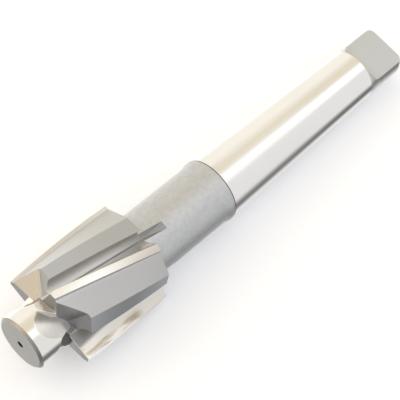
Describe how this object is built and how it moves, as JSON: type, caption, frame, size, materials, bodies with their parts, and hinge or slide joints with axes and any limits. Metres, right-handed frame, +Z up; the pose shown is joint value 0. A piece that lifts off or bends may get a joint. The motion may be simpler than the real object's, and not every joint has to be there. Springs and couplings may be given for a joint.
{
  "type": "counterbore cutter",
  "caption": "Right-hand spiral-fluted counterbore cutter with a solid guide pilot, a plain neck and a self-holding taper shank with a tang.",
  "frame": {"origin": "centre of the bounding box's base, with the tool lying on the floor as it comes to rest", "axes": "+X along the tool from the pilot to the tang, seen from above; +Z up; the tool's own axis slopes down by about three degrees towards the tang"},
  "size_m": [0.2368, 0.0474, 0.0476],
  "materials": {
    "high_speed_steel": "ground and polished, satin where it is turned or milled"
  },
  "bodies": {
    "root": {"counterbore_cutter": "high_speed_steel"}
  },
  "joints": []
}
